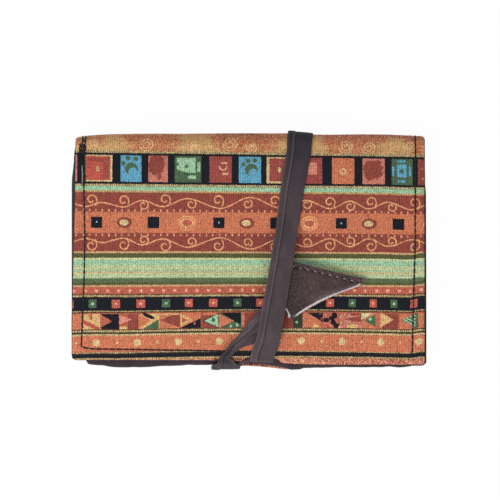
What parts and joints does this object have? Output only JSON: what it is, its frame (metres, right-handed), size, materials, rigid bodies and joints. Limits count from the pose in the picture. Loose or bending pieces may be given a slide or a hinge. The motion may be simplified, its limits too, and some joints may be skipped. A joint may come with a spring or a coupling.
{
  "type": "tobacco pouch",
  "caption": "Flat fold-over cloth pouch with a banded woven cover, a lined inner pocket and a wrap-round strap tucked into a folded leather tab.",
  "frame": {"origin": "on the surface that the pouch lies on, under the middle of its outline", "axes": "+X to the right across the flap, +Y from the flap's hem up to the top fold, +Z out of the flap"},
  "size_m": [0.1596, 0.1082, 0.0219],
  "materials": {
    "woven_cloth": "patterned tapestry cloth in bands of orange, red, black, mint and green",
    "lining_cloth": "plain dark brown cotton",
    "pocket_cloth": "plain dark brown cotton",
    "strap_cloth": "grey-brown cotton tape, stitched along one edge",
    "tab_leather": "dark brown grained leather, polished at the fold"
  },
  "bodies": {
    "root": {"woven_cover": "woven_cloth", "cover_lining": "lining_cloth", "tobacco_pocket": "pocket_cloth", "paper_pocket": "pocket_cloth", "filter_pocket": "pocket_cloth", "strap": "strap_cloth", "leather_tab": "tab_leather"}
  },
  "joints": []
}
